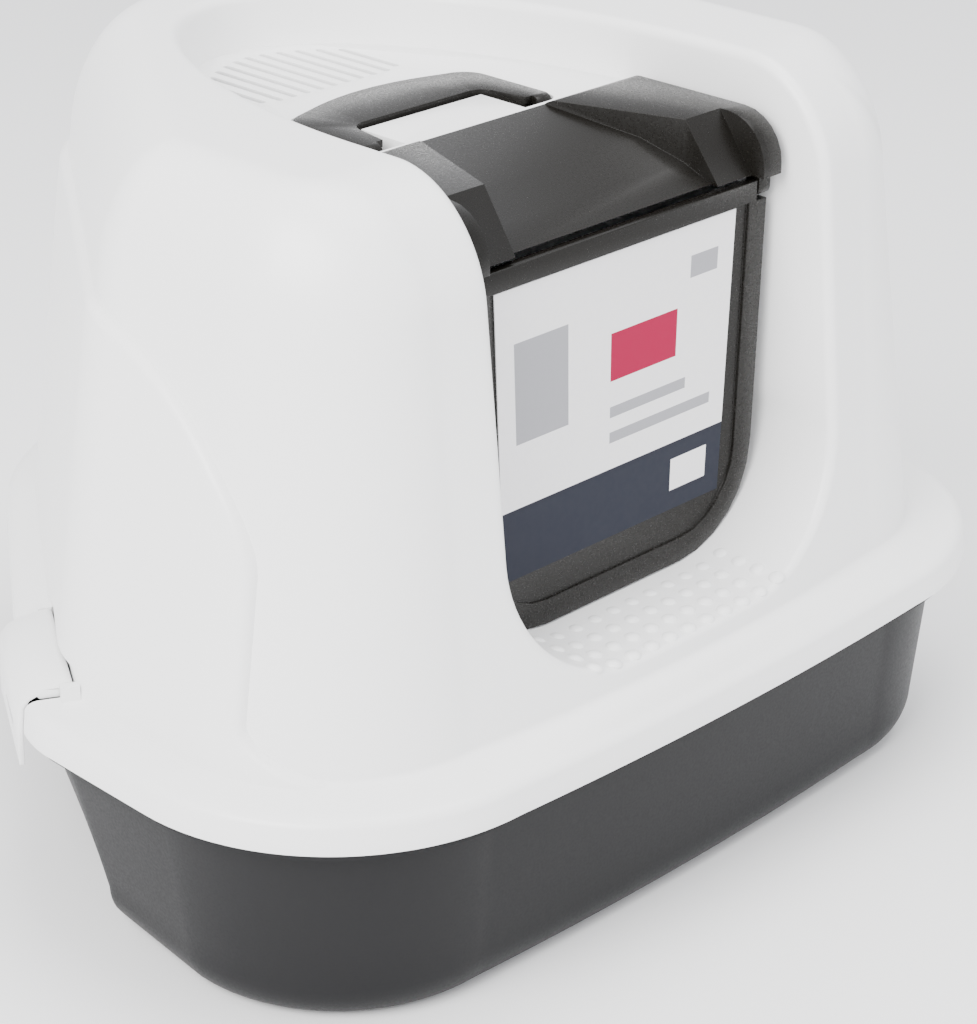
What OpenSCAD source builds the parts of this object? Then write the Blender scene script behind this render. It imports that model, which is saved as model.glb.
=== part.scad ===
// Hooded litter tray with a recessed front, a swinging door flap and a flip-up lid.
// Seen from above it is a rounded wedge: a wide front, short sides and two legs that
// close to a rounded back.  +X is to the right of someone who faces the door, +Y is
// towards the back and +Z is up.  The origin is on the floor, under the middle of the
// rim.  Inside the file Y is counted from the front of the rim, and seat() moves each
// finished piece back by half the depth.

/* [Rim outline] */
// Half of the width across the rim
rim_half = 280; // [270:1:300]
// Depth of the rim, front to back
rim_depth = 511; // [500:1:540]
// Radius of the two front corners of the rim
rim_corner_r = 126; // [120:1:135]
// Radius of the rim where the sides turn into the legs
rim_side_r = 71; // [60:1:85]
// Distance from the front of the rim to the end of the straight sides
side_y = 206; // [195:1:215]
// Radius of the rounded back of the rim
rim_back_r = 162; // [150:1:170]
// How far the front edge of the rim bows forward
rim_bow = 5; // [2:1:8]

/* [Tray] */
// Height of the tray up to the lower edge of the hood's skirt
skirt_z = 113; // [100:1:130]
// Wall of the tray
tray_wall = 2.8; // [2:0.1:4]
// How far the tray's front wall lies inside the rim outline at the skirt's lower edge
tray_top_in = 19; // [16:1:22]
// Lean of the tray's front wall for each unit of height
tray_front_lean = 0.07; // [0.04:0.01:0.1]
// Lean of the tray's walls along the two legs for each unit of height
tray_leg_lean = 0.34; // [0.24:0.01:0.36]
// Radius of the rounded bottom edge of the tray
tray_bottom_r = 24; // [16:1:26]

/* [Hood] */
// Wall of the hood
hood_wall = 3; // [2.5:0.1:4]
// Height of the hood's flat top above the lower edge of the skirt
hood_top = 293; // [280:1:310]
// Distance from the rim outline in to the hood wall, at the front
hood_front_in = 35; // [32:1:38]
// Distance from the rim outline in to the hood wall, at the sides
hood_side_in = 33; // [31:1:36]
// Distance from the rim outline in to the hood wall, at the back
hood_back_in = 23; // [20:1:26]
// Radius of the hood wall where the sides turn into the legs
hood_side_r = 82; // [76:1:90]
// How far the hood's front bows forward
hood_bow = 10; // [6:1:12]
// Lean of the hood's sides for each unit of height
hood_draft = 0.135; // [0.12:0.005:0.15]
// Lean of the hood's front for each unit of height
hood_front_draft = 0.1; // [0.09:0.005:0.12]
// Height of the hood's rounded top edge
crown_h = 58; // [50:1:62]
// Width of the hood's rounded top edge at the sides and the back
crown_w = 34; // [30:1:40]
// Width of the hood's rounded top edge at the front
crown_front_w = 52; // [44:1:56]
// Depth of the hood's skirt round the rim
skirt_h = 18; // [17:1:20]

/* [Recess] */
// Half of the width of the recess
recess_half = 121; // [119:1:123]
// Radius of the two lower corners of the recess
recess_corner_r = 75; // [68:1:80]
// Height of the step's front lip above the lower edge of the skirt
lip_z = 31; // [30:1:33]
// Distance from the front of the rim to where the recess starts to taper
taper_y = 150; // [146:1:156]
// Distance from the front of the rim to the back tip of the recess
recess_back = 385; // [376:1:392]
// Depth from the front of the rim to the back edge of the step and the side walls
doorway_y = 104; // [102:1:108]
// Height of the recess's upper floor above the lower edge of the skirt
deck_z = 262; // [258:1:264]
// Rounding of the edge between the hood's outside and the recess
recess_edge_r = 6; // [4:0.5:7]

/* [Side panels] */
// How far the raised side panels stand out of the hood
panel_proud = 5; // [3:0.5:6]
// Height of the top edge of the raised side panels above the lower edge of the skirt
panel_top = 217; // [210:1:226]

/* [Step bumps] */
// Distance between bumps across the step
bump_pitch_x = 14; // [13:0.2:16]
// Distance between rows of bumps
bump_pitch_y = 13; // [12:0.2:13.4]
// Radius of a bump
bump_r = 4.5; // [4:0.1:5.6]
// Height of a bump
bump_h = 2.2; // [1.8:0.1:2.4]

/* [Vent] */
// Distance between the slots of the vent
slot_pitch = 9.6; // [9:0.2:11]
// Width of a slot
slot_w = 4; // [3:0.1:4.5]
// Distance from the front of the rim to the front ends of the slots
vent_front = 296; // [293:1:300]
// Distance from the slots' back ends to the edge of the recess
vent_margin = 14; // [12:1:18]

/* [Lid and flap] */
// Clearance between the lid's sides and the upright edges of the recess
lid_gap = 8; // [7:0.5:9]
// Wall of the lid and of the flap
lid_wall = 3; // [2.5:0.1:3.5]
// Width of the raised bands along the sides of the lid and the flap
band_w = 14; // [12:1:16]
// Distance from the front of the rim to the back edge of the lid
lid_back = 189; // [187:1:190]
// Distance from the front of the rim to the front face of the flap
flap_front = 88; // [87:1:90]
// Height of the flap's lower edge above the lower edge of the skirt
flap_bottom = 33.5; // [33:0.5:36]
// How much narrower than the lid the flap is at its top, on each side
flap_in = 2; // [1:0.5:3]
// Radius of the lower corners of the flap
flap_corner_r = 55; // [50:1:60]

/* [Carrying handle] */
// Half of the width of the handle
handle_half = 66; // [64:1:68]
// Distance from the handle's pivot to its back edge
handle_reach = 71; // [69:1:73]
// Width of the handle's grip, front to back
grip_w = 42; // [38:1:44]
// Thickness of the handle
handle_t = 12; // [11:0.5:12.5]

/* [Latches] */
// Length of a latch along the rim
latch_len = 82; // [76:1:88]
// Distance from the start of the straight leg to the middle of a latch
latch_at = 28; // [26:1:40]
// How far a latch reaches below the lower edge of the skirt
latch_drop = 18; // [14:1:22]

/* [Pins] */
// Radius of the hinge pins
pin_r = 2; // [1.8:0.1:2.4]
// Radial clearance of a pin that turns
pin_play = 0.06; // [0.03:0.01:0.08]

/* [Filter] */
// Thickness of the carbon filter pad
filter_t = 6; // [5:0.5:7]
// Half of the width of the filter pad at its front
filter_half = 50; // [46:1:52]

/* [Hidden] */
$fn = 48;

gap = 0.3;                                  // rest gap between pieces that move apart
lid_half = recess_half - lid_gap;
flap_half = lid_half - flap_in;
white = [0.93, 0.93, 0.92];
charcoal = [0.24, 0.24, 0.25];
smoke = [0.2, 0.19, 0.17];

// ---- outlines seen from above -------------------------------------------------
// An outline is four circles [x, y, r] (front middle, front corner, side, back) and
// the bow of the front edge.  Stations 0 to 6 run along it from the front middle over
// the right side to the back middle.
rim = [[[0, rim_bow + rim_corner_r, rim_corner_r],
    [rim_half - rim_corner_r, rim_bow + rim_corner_r, rim_corner_r],
    [rim_half - rim_side_r, side_y, rim_side_r],
    [0, rim_depth - rim_back_r, rim_back_r]], rim_bow];
hood_corner_r = rim_corner_r - hood_side_in;
hood_corner_y = rim_bow + hood_front_in + hood_corner_r;
foot = [[[0, hood_corner_y, hood_corner_r],
    [rim_half - rim_corner_r, hood_corner_y, hood_corner_r],
    [rim_half - hood_side_in - hood_side_r, side_y, hood_side_r],
    [0, rim_depth - rim_back_r, rim_back_r - hood_back_in]], hood_bow];

function mix(a, b, t) = a + (b - a) * t;
function smooth(t) = let (u = max(0, min(1, t))) u * u * (3 - 2 * u);

// Direction, in degrees from +X, in which the straight leg of an outline faces
function leg_angle(o) =
  let (d = o[0][3] - o[0][2], run = [d[0], d[1]])
  atan2(d[1], d[0]) - acos(-d[2] / norm(run));

// Point of outline o at station s, moved inwards by inset
function plan(o, s, inset) =
  let (k = min(floor(s), 5),
    f = s - k,
    a = o[0][[0, 1, 1, 2, 2, 3][k]],
    b = o[0][[1, 1, 2, 2, 3, 3][k]],
    leg = leg_angle(o),
    phi = mix([-90, -90, 0, 0, leg, leg][k], [-90, 0, 0, leg, leg, 90][k], f),
    c = mix(a, b, f),
    bow = k == 0 ? o[1] * (1 - f * f) : 0)
  [c[0] + (c[2] - inset) * cos(phi), c[1] + (c[2] - inset) * sin(phi) - bow];

// A ring of points: the right half as given, then its mirror image
function both_sides(half) =
  let (n = len(half))
  concat(half, [for (i = [n - 2:-1:1]) [-half[i][0], half[i][1], half[i][2]]]);

// Skins a list of rings of equal length, each patch cut along its shorter diagonal.
// A closed skin joins the last ring to the first, an open one gets flat caps.
module skin(rings, closed = false) {
  n = len(rings[0]);
  m = len(rings);
  last = closed ? m - 1 : m - 2;
  sides = [for (i = [0:last]) for (j = [0:n - 1])
    let (h = (i + 1) % m, k = (j + 1) % n, a = i * n, b = h * n)
    each norm(rings[i][j] - rings[h][k]) <= norm(rings[h][j] - rings[i][k]) + 0.001
      ? [[a + j, b + j, b + k], [a + j, b + k, a + k]]
      : [[a + j, b + j, a + k], [b + j, b + k, a + k]]];
  caps = closed ? [] : [[for (j = [0:n - 1]) j], [for (j = [n - 1:-1:0]) (m - 1) * n + j]];
  polyhedron(points = [for (r = rings) each r], faces = concat(sides, caps), convexity = 10);
}

// How stations of the foot pair with stations of the recess edge: [foot, edge, steps]
pairs = [[0, 0, 2], [0.3, 1, 6], [0.95, 2, 5], [1.35, 3, 5], [1.75, 4, 4], [2.6, 5, 15],
  [6, 6, 0]];
tracks = concat([for (i = [0:len(pairs) - 2]) for (j = [0:pairs[i][2] - 1])
    let (f = j / pairs[i][2]) [mix(pairs[i][0], pairs[i + 1][0], f),
      mix(pairs[i][1], pairs[i + 1][1], f)]], [[6, 6]]);

// Inset of the tray's wall from the rim at station s and height z: it leans most along
// the legs, and its rounded foot is added by the profile
function tray_in(s, z) =
  lookup(s, [[1, tray_top_in], [2, 12], [3, 10], [4, 13], [6, 16]])
  + max(0, skirt_z - max(z, tray_bottom_r))
  * lookup(s, [[1, tray_front_lean], [2, 0.13], [3, 0.24], [3.8, tray_leg_lean],
    [4.6, tray_leg_lean], [5.5, 0.22]]);
// A level ring round the tray.  Profile point p is [offset, height, 1 where it follows the
// wall or 0 where it is counted from the rim].
function tray_ring(p) = both_sides([for (t = tracks)
  let (q = plan(rim, t[0], p[0] + p[2] * tray_in(t[0], p[1]))) [q[0], q[1], p[1]]]);

// ---- the hood's outside ---------------------------------------------------------
foot_z = skirt_z + 22;                      // where the hood wall leaves the flange
top_z = skirt_z + hood_top;
crown_z = top_z - crown_h;                  // where the top edge starts to round over
wall_share = 0.72;                          // part of the profile that is plain wall

// Inset and height of the hood's profile at v, from 0 at its foot to 1 on the flat top,
// where station s of the foot is in front (up to 1) or at the side (from 1.7)
function draft_at(s) = mix(hood_front_draft, hood_draft, smooth((s - 1) / 0.7));
function wall_inset(s, v) =
  let (a = v <= wall_share ? 0 : 90 * (v - wall_share) / (1 - wall_share))
  draft_at(s) * (wall_height(v) - foot_z)
  + mix(crown_front_w, crown_w, smooth((s - 1) / 0.7)) * (1 - cos(a));
function wall_height(v) =
  v <= wall_share ? mix(foot_z, crown_z, v / wall_share)
  : crown_z + crown_h * sin(90 * (v - wall_share) / (1 - wall_share));

// The edge of the recess, widened by e.  From the middle of the step's lip it runs
// along the lip (0-1), round the lower corner (1-2), up the side (2-3), over the
// shoulder (3-4), back along the top (4-5) and round to the back tip (5-6).
lip_half = recess_half - recess_corner_r;
front_y = rim_bow + hood_front_in;
function front_at(x) = let (f = x / (rim_half - rim_corner_r)) front_y - hood_bow * (1 - f * f);
function edge_x(s, e) =
  s <= 1 ? lip_half * s
  : s <= 2 ? lip_half + (recess_corner_r + e) * sin(90 * (s - 1))
  : s <= 5 ? recess_half + e
  : (recess_half + e) * pow(1 - pow(sin(90 * (s - 5)), 1.85), 0.5);
function edge_low_z(s, e) =
  let (z0 = skirt_z + lip_z)
  s <= 1 ? z0 - e
  : s <= 2 ? z0 + recess_corner_r - (recess_corner_r + e) * cos(90 * (s - 1))
  : mix(z0 + recess_corner_r, crown_z, s - 2);
function edge_v(s, e) =
  s <= 3 ? wall_share * (edge_low_z(s, e) - foot_z) / (crown_z - foot_z)
  : mix(wall_share, 1, min(s - 3, 1));
function edge_y(s, e) =
  let (x = min(edge_x(s, e), recess_half + e), y4 = front_at(x) + wall_inset(0, 1))
  s <= 4 ? front_at(x) + wall_inset(0, edge_v(s, e))
  : s <= 5 ? mix(y4, taper_y, s - 4)
  : taper_y + (recess_back + e - taper_y) * sin(90 * (s - 5));
function edge_z(s, e) = s <= 4 ? wall_height(edge_v(s, e)) : top_z;
// Point at a depth below the hood's outside, along the recess wall
function edge_point(s, e, depth) =
  let (b = 90 * max(0, min(1, s - 3)))
  [edge_x(s, e), edge_y(s, e) + depth * cos(b), edge_z(s, e) - depth * sin(b)];
function edge_round(s) = s < 1 ? recess_edge_r / 2 : s < 2 ? recess_edge_r * (s / 2) : recess_edge_r;

// Where the recess wall ends: behind the step, at the doorway and under the lid's sides
wall_foot_z = skirt_z + 232;
jamb_top_z = skirt_z + 215;
jamb_lean = 4;
function wall_end(s, e) =
  s <= 2 ? [edge_x(s, e - jamb_lean / 2), doorway_y, edge_low_z(s, e - jamb_lean / 2)]
  : s <= 3 ? [recess_half - jamb_lean + e, doorway_y,
      mix(skirt_z + lip_z + recess_corner_r, jamb_top_z, s - 2)]
  : s <= 4 ? [recess_half - jamb_lean + e, mix(doorway_y, doorway_y + 17, s - 3),
      mix(jamb_top_z, wall_foot_z, s - 3)]
  : s <= 5 ? [recess_half - jamb_lean + e, mix(doorway_y + 17, taper_y, s - 4), wall_foot_z]
  : [edge_x(s, e - jamb_lean), edge_y(s, e - jamb_lean), wall_foot_z];

// Share of the profile that ring i of n reaches on a track that ends at edge station s.
// Below the shoulder the rings are evenly spaced.  Above it the first two thirds of them
// keep to the wall and the crown, and the rest lie on the flat top.
crown_rings = [0, 0.2, 0.4, 0.57, 0.72, 0.79, 0.86, 0.93, 1];
function ring_share(s, i, n) =
  let (k = i / n, kept = 2 / 3, near = smooth((s - 3) / 1))
  mix(k, k > kept ? 1 - 0.02 * (1 - k) / (1 - kept)
    : 0.98 * lookup(8 * k / kept, [for (j = [0:8]) [j, crown_rings[j]]]), near);

// Point on ring i of n, from the hood's foot (0) to the recess edge (n), on the outside
// (inset 0) or the inside of the wall, for the edge widened by e
function over_hood(track, i, n, inset, e) =
  let (s = track[1],
    straight = rim_half - rim_corner_r,
    across = s <= 4 ? edge_x(s, e) / straight
      : s <= 5 ? mix((recess_half + e) / straight, 1.9, s - 4) : mix(1.9, 6, s - 5),
    turn = smooth((s - 1) / 1.2),             // 1 where the track turns level to the edge
    share = ring_share(min(s, 4), i, n),
    flat = s > 4 && i > n * 2 / 3,
    v = s > 4 ? min(share / 0.98, 1)
      : edge_v(s, e) * (1 - pow(1 - share, 1 + turn * (1 - smooth(s - 3)))),
    sweep = pow(s > 4 ? v : share, 1 + 2 * turn * (1 - smooth(s - 4))),
    brow = concat(plan(foot, across, wall_inset(across, 1) + inset), [top_z]),
    target = [edge_x(s, e), edge_y(s, e), top_z],
    st = mix(track[0], across, sweep),
    p = flat ? mix(brow, target, (i / n - 2 / 3) * 3)
      : plan(foot, st, wall_inset(st, v) + inset),
    z = flat ? top_z : wall_height(v))
  [p[0], p[1], foot_z + (z - foot_z) * (top_z - inset - foot_z) / (top_z - foot_z)];

function hood_ring(o, inset, z) =
  both_sides([for (t = tracks) let (p = plan(o, t[0], inset)) [p[0], p[1], z]]);
outer_steps = 12;
inner_steps = 6;
flange_z = skirt_z + skirt_h;
hood_rings = concat(
  [hood_ring(rim, 0, skirt_z), hood_ring(rim, 1.2, skirt_z + 12.5),
    hood_ring(rim, 4.5, flange_z - 0.8), hood_ring(rim, 9, flange_z),
    hood_ring(foot, -7, flange_z + 0.3), hood_ring(foot, -2, flange_z + 1.4)],
  [for (i = [0:outer_steps])
    both_sides([for (t = tracks) over_hood(t, i, outer_steps, 0, edge_round(t[1]))])],
  [for (a = [45, 90])
    both_sides([for (t = tracks) let (r = edge_round(t[1]))
      edge_point(t[1], r * (1 - sin(a)), r * (1 - cos(a)))])],
  [both_sides([for (t = tracks) wall_end(t[1], 0)]),
    both_sides([for (t = tracks) wall_end(t[1], hood_wall)])],
  [for (i = [inner_steps:-1:0])
    both_sides([for (t = tracks) over_hood(t, i, inner_steps, hood_wall, hood_wall)])],
  [hood_ring(foot, hood_wall, flange_z - 2.7), hood_ring(rim, 4, flange_z - 3),
    hood_ring(rim, 3, skirt_z)]);

// Raised panels on the sides and the back, with an S-shaped front edge
panel_y = 103;                              // the panel's upright front edge
panel_bend_z = 118;                         // where that edge starts to lean back
panel_run = 134;                            // length over which it reaches the top edge
function wall_ring(inset, h) =
  both_sides([for (t = tracks)
    let (p = plan(foot, t[0], draft_at(t[0]) * (skirt_z + h - foot_z) + inset))
    [p[0], p[1], skirt_z + h]]);
module side_panels() {
  low = foot_z - skirt_z - 3;
  shape = [for (i = [0:6]) wall_ring(-panel_proud, mix(low, panel_top + 8, i / 6))];
  hollow = [for (h = [low - 2, panel_top + 10]) wall_ring(2.4, h)];
  toe = [for (h = [low:6:45]) [panel_y - 30 * pow((45 - h) / 23, 2), skirt_z + h]];
  bend = [for (a = [0:6:90]) [panel_y + panel_run * (1 - pow(cos(a), 1.25)),
    skirt_z + panel_bend_z + (panel_top - panel_bend_z) * pow(sin(a), 1.25)]];
  intersection() {
    difference() {
      skin(shape);
      skin(hollow);
    }
    along_x(2 * rim_half) polygon(concat(toe, bend,
      [[rim_depth, skirt_z + panel_top], [rim_depth, skirt_z + low]]));
  }
}

// Turns a profile drawn in (Y, Z) into a bar along X, centred on X = 0
module along_x(width) {
  translate([-width / 2, 0, 0])
    rotate([90, 0, 90]) linear_extrude(height = width) children();
}

// Plan of the recess's upper floor, moved inwards by inset, in front of which it is cut
module deck_plan(inset, from_y) {
  half = [for (i = [0:12]) let (s = 5 + i / 12) [edge_x(s, -inset), edge_y(s, -inset)]];
  back = [for (p = half) if (p[1] > from_y) p];
  right = concat([[edge_x(5, -inset), from_y]], back);
  polygon(concat(right, [for (i = [len(right) - 1:-1:0]) [-right[i][0], right[i][1]]]));
}

// ---- the carrying handle and its pocket -------------------------------------------
pivot_y = lid_back + 16;                    // handle pivots
handle_top = skirt_z + deck_z + 2;
pivot_z = handle_top - handle_t / 2;
land_half = 43;
land_back = pivot_y + handle_reach - grip_w - 4;
pocket_gap = 3;
module handle_outline(grow) {
  back = pivot_y + handle_reach;
  offset(r = grow) hull() {
    translate([0, back - 130]) intersection() {
      circle(r = 130, $fn = 96);
      translate([-46, 100]) square([92, 31]);
    }
    for (side = [-1, 1]) {
      translate([side * (handle_half - 16), back - 26]) circle(r = 16, $fn = 32);
      translate([side * (handle_half - 5), pivot_y]) circle(r = 5, $fn = 16);
    }
  }
}
module handle_hole() {
  back = pivot_y + handle_reach - grip_w;
  hull() for (side = [-1, 1]) {
    translate([side * (handle_half - 28), back - 10]) circle(r = 10, $fn = 24);
    translate([side * (handle_half - 15), pivot_y - 30]) circle(r = 5, $fn = 16);
  }
}
module land_plan(grow) {
  translate([-land_half - grow, lid_back + 4])
    square([2 * (land_half + grow), land_back - lid_back - 4 + grow]);
}

// ---- latches ------------------------------------------------------------------------
leg = leg_angle(rim);
leg_start = plan(rim, 4, 0);
latch_mid = leg_start + latch_at * [-sin(leg), cos(leg)];
hinge_in = 20.6;                             // hinge line, measured in from the rim
latch_turn = 5;                             // a latch faces this much further to the side
hinge_r = 3.6;
hinge_z = flange_z + 4.2;
// Moves a shape drawn with X along the rim and Y outwards to the latch on one side
module at_latch(side) {
  mirror([side < 0 ? 1 : 0, 0, 0])
    translate([latch_mid[0], latch_mid[1], 0]) rotate([0, 0, leg - latch_turn - 90])
      children();
}

// ---- pieces -------------------------------------------------------------------------
module seat() {
  translate([0, -rim_depth / 2, 0]) children();
}

module base_tray() color(charcoal) seat() {
  top = flange_z - hood_wall - gap;         // the hood's flange lies on this rim
  w = tray_wall;
  r = tray_bottom_r;
  outside = concat([for (a = [0:22.5:90]) [r * (1 - sin(a)) * 0.8, r * (1 - cos(a)), 1]],
    [[0, 70, 1], [0, skirt_z, 1], [-0.6, top - w, 1], [8, top - w, 0], [7.4, skirt_z - 5, 0],
      [4.8, skirt_z - 5, 0], [4.4, top - 2.5, 0], [6.4, top, 0]]);
  inside = [[w - 2, top, 1], [w - 0.4, top - 2, 1], [w, skirt_z, 1], [w, 70, 1], [w, r, 1],
    [w + r * 0.25, r * 0.38, 1], [w + r * 0.8, w, 1]];
  skin([for (p = concat(outside, inside)) tray_ring(p)]);
}

module hood_body() {
  // shell with its flange, rounded edge and recess walls, all one skin
  skin(hood_rings, closed = true);
  side_panels();
  // bumps that clean the paws on the step
  step_top = skirt_z + lip_z;
  columns = floor((lip_half + 38) / bump_pitch_x);
  for (row = [0:3]) for (col = [-columns:columns]) {
    y = doorway_y - 28 - row * bump_pitch_y;
    x = col * bump_pitch_x;
    if (abs(x) < lip_half + 38 - row * 4)
      translate([x, y, step_top + bump_rise(abs(x)) - 1])
        rotate([0, bump_tilt(x), 0])
          cylinder(r1 = bump_r, r2 = bump_r * 0.45, h = bump_h + 1, $fn = 8);
  }
  // upper floor with the pocket for the handle and the vent behind it
  difference() {
    union() {
      translate([0, 0, skirt_z + deck_z - hood_wall])
        linear_extrude(height = hood_wall) deck_plan(0.5, lid_back + 1);
      translate([0, 0, skirt_z + deck_z - hood_wall - handle_t])
        linear_extrude(height = handle_t + hood_wall) handle_outline(pocket_gap + hood_wall);
    }
    difference() {
      translate([0, 0, handle_top - handle_t - gap])
        linear_extrude(height = 2 * handle_t) handle_outline(pocket_gap);
      translate([0, 0, skirt_z]) linear_extrude(height = deck_z) land_plan(0);
    }
    vent_slots();
  }
  // rests for the lid's sides
  for (side = [-1, 1])
    translate([side * (recess_half - jamb_lean - 3) - 5, 124, rest_z - 6])
      cube([10, 26, 6]);
  // bosses that carry the lid's pins
  for (side = [-1, 1])
    translate([side * (lid_half + 3.8), 0, 0]) lid_axis()
      cylinder(r = 6, h = 6.4, center = true, $fn = 32);
  latch_ears();
  filter_lugs();
}

// Height of the step's surface above its middle, at a distance x from the middle
function bump_rise(x) =
  x <= lip_half ? 0
  : recess_corner_r - sqrt(pow(recess_corner_r, 2) - pow(min(x - lip_half, 60), 2));

function bump_tilt(x) =
  abs(x) <= lip_half ? 0 : -sign(x) * asin(min(abs(x) - lip_half, 60) / recess_corner_r);

module vent_slots() {
  for (i = [-5:5]) {
    x = i * slot_pitch;
    share = pow(1 - pow((abs(x) + slot_w) / recess_half, 2), 1 / 1.85);
    back = taper_y + (recess_back - taper_y) * share - vent_margin;
    front = vent_front + max(0, abs(x) - 40) * 0.4;
    translate([x - slot_w / 2, front, skirt_z + deck_z - 10])
      cube([slot_w, back - front, 20]);
  }
}

module latch_ears() {
  for (side = [-1, 1]) at_latch(side)
    for (end = [-1, 1])
      translate([end * (latch_len / 2 + 4) - 3, -hinge_in - 6, flange_z - 1])
        cube([6, 6 + hinge_r, latch_top - flange_z + 1]);
}

lug_y = vent_front - 8;
lug_x = 44;
lug_z = skirt_z + deck_z - hood_wall - filter_t - 5;
module filter_lugs() {
  for (side = [-1, 1])
    translate([side * lug_x - 3, lug_y - 5, lug_z - 5])
      cube([6, 10, skirt_z + deck_z - hood_wall - lug_z + 6]);
}

module hood_shell() color(white) seat() difference() {
  // the moulding, brought to the width across its rim
  resize([2 * rim_half, 0, 0]) difference() {
    hood_body();
    for (side = [-1, 1]) at_latch(side)
      translate([-latch_len / 2 - 1, -hinge_in - 4.6, skirt_z - 5])
        cube([latch_len + 2, hinge_in + 30, latch_top + 11 - skirt_z]);
  }
  lid_axis() cylinder(r = pin_r, h = 2 * recess_half + 40, center = true);
  handle_axis() cylinder(r = pin_r, h = 2 * handle_half + 30, center = true);
  filter_axis() cylinder(r = pin_r, h = 2 * lug_x + 20, center = true);
  for (side = [-1, 1]) at_latch(side) latch_axis()
    cylinder(r = pin_r, h = latch_len + 12, center = true);
}

// Hinge lines: children stand on the axis with Z along it
lid_top = skirt_z + 268;
lid_back_r = 9;                             // the lid's back edge is round about its axis
lid_axis_y = lid_back - lid_back_r;
lid_axis_z = lid_top - lid_back_r;
flap_axis_z = skirt_z + 229;
flap_axis_y = flap_front + 4.5;
module lid_axis() translate([0, lid_axis_y, lid_axis_z]) rotate([0, 90, 0]) children();
module flap_axis() translate([0, flap_axis_y, flap_axis_z]) rotate([0, 90, 0]) children();
module handle_axis() translate([0, pivot_y, pivot_z]) rotate([0, 90, 0]) children();
module filter_axis() translate([0, lug_y, lug_z]) rotate([0, 90, 0]) children();
module latch_axis() translate([0, -hinge_in, hinge_z]) rotate([0, 90, 0]) children();

// ---- lid -----------------------------------------------------------------------------
nose_y = flap_front - 7;
nose_r = 26;
nose_low = flap_axis_z + 8;
lid_foot = nose_low + 3;
rest_z = lid_foot - gap;                    // the lid's sides lie on the rests here
function lid_shell(t) = concat(
  [for (a = [-30:15:90]) [lid_axis_y + (lid_back_r - t) * cos(a),
    lid_axis_z + (lid_back_r - t) * sin(a)]],
  [for (a = [90:15:180]) [nose_y + nose_r + (nose_r - t) * cos(a),
    lid_top - nose_r + (nose_r - t) * sin(a)]]);
lid_side = concat(lid_shell(0), [[nose_y, nose_low], [nose_y + 10, nose_low],
  [doorway_y + 6, lid_foot], [155, lid_foot], [162, nose_low + 12]]);
lid_hollow = concat(lid_shell(lid_wall),
  [[nose_y + lid_wall, nose_low - 20], [lid_back - lid_wall, nose_low - 20]]);
// The dished middle: its floor, and in front of the flat shoulders a slope to the flap
dish_floor = [[lid_back + 1, lid_top - 1.5], [135, lid_top - 13], [flap_front, lid_top - 33],
  [nose_y - 5, lid_top - 36]];
front_slope = [[112, lid_top], [flap_front, lid_top - 33], [nose_y - 5, lid_top - 41]];
module cut_above(line, half, t) {
  along_x(2 * half) polygon(concat([for (p = line) [p[0], p[1] - t]],
    [[nose_y - 5, lid_top + 20], [line[0][0], lid_top + 20]]));
}
module scoop(t) {
  wide = lid_half - 39;
  narrow = lid_half - 69;
  intersection() {
    cut_above(dish_floor, lid_half, t);
    linear_extrude(height = 2 * lid_top) polygon([[-wide - t, nose_y - 6],
      [wide + t, nose_y - 6], [wide + t - 2, 112], [narrow + t, lid_back + 2],
      [-narrow - t, lid_back + 2], [2 - wide - t, 112]]);
  }
  cut_above(front_slope, lid_half - band_w + t, 1.2 * t);
}
module front_lid() color(smoke) seat() difference() {
  union() {
    difference() {
      along_x(2 * lid_half) polygon(lid_side);
      along_x(2 * (lid_half - lid_wall)) polygon(lid_hollow);
    }
    intersection() {
      scoop(lid_wall);
      along_x(2 * lid_half) polygon(lid_side);
    }
    // hinge bosses at the back corners and ears for the flap's pins
    for (side = [-1, 1]) {
      translate([side * (lid_half - 4), 0, 0]) lid_axis()
        cylinder(r = lid_back_r - 1.5, h = 8, center = true);
      translate([side * (lid_half - 4.5) - 4.5, flap_axis_y - 4.5, flap_axis_z])
        cube([9, 9, 16]);
      translate([side * (lid_half - 4.5), 0, 0]) flap_axis()
        cylinder(r = 4.5, h = 9, center = true);
    }
  }
  scoop(0);
  lid_axis() cylinder(r = pin_r + pin_play, h = 2 * lid_half + 10, center = true);
  flap_axis() cylinder(r = pin_r, h = 2 * lid_half + 10, center = true);
}

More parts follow.
